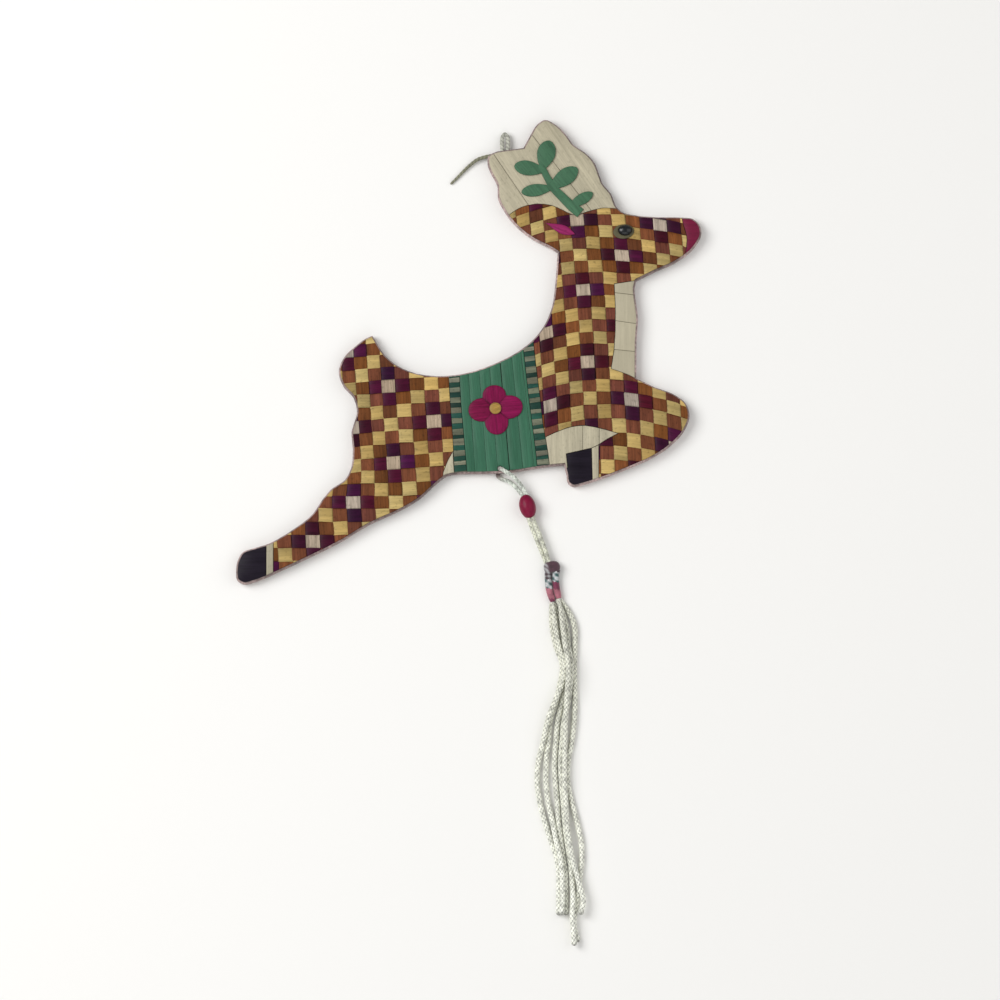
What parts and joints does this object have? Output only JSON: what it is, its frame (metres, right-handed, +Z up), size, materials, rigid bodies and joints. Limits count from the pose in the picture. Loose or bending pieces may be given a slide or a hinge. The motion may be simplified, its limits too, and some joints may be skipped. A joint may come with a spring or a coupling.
{
  "type": "woven reindeer ornament",
  "caption": "Flat leaping reindeer ornament faced in woven and plain straw, with an appliqued saddle, a short hanging loop and a beaded cord tassel.",
  "frame": {"origin": "under the middle of the reindeer's body, without its cords, on the surface that it lies on", "axes": "+Z up out of the decorated face, +X towards the nose, +Y towards the antler; the tassel lies towards -Y"},
  "size_m": [0.1304, 0.2328, 0.0054],
  "materials": {
    "bound_card": "matte",
    "natural_straw": "satin",
    "woven_straw": "satin",
    "green_straw": "satin",
    "teal_straw": "satin",
    "black_straw": "satin",
    "magenta_straw": "satin",
    "pink_straw": "satin",
    "gold_straw": "satin",
    "black_glass": "gloss",
    "dull_card": "matte",
    "painted_bead": "satin",
    "cotton_cord": "matte",
    "grey_cord": "matte",
    "wrapping_thread": "matte"
  },
  "bodies": {
    "root": {"backing_board": "bound_card", "woven_hindquarters": "woven_straw", "woven_forequarters": "woven_straw", "antler_panel": "natural_straw", "throat_panel": "natural_straw", "belly_panel_front": "natural_straw", "belly_panel_rear": "natural_straw", "saddle_panel": "green_straw", "saddle_border_rear": "teal_straw", "saddle_border_front": "teal_straw", "hind_hoof": "black_straw", "hind_cuff": "natural_straw", "fore_hoof": "black_straw", "fore_cuff": "natural_straw", "nose": "magenta_straw", "antler_sprig": "green_straw", "ear": "pink_straw", "eye_ring": "dull_card", "eye": "black_glass", "flower_petal_1": "magenta_straw", "flower_petal_2": "magenta_straw", "flower_petal_3": "magenta_straw", "flower_petal_4": "magenta_straw", "flower_centre": "gold_straw", "hanger_loop": "cotton_cord", "hanger_loose_end": "grey_cord", "tassel_cord": "cotton_cord", "tassel_bead": "painted_bead", "tassel_cap": "wrapping_thread", "tassel_wrap_left": "wrapping_thread", "tassel_wrap_right": "wrapping_thread", "tassel_strand_1": "cotton_cord", "tassel_strand_2": "cotton_cord", "tassel_strand_3": "cotton_cord", "tassel_strand_4": "cotton_cord", "tassel_strand_5": "cotton_cord", "tassel_strand_6": "cotton_cord"}
  },
  "joints": []
}
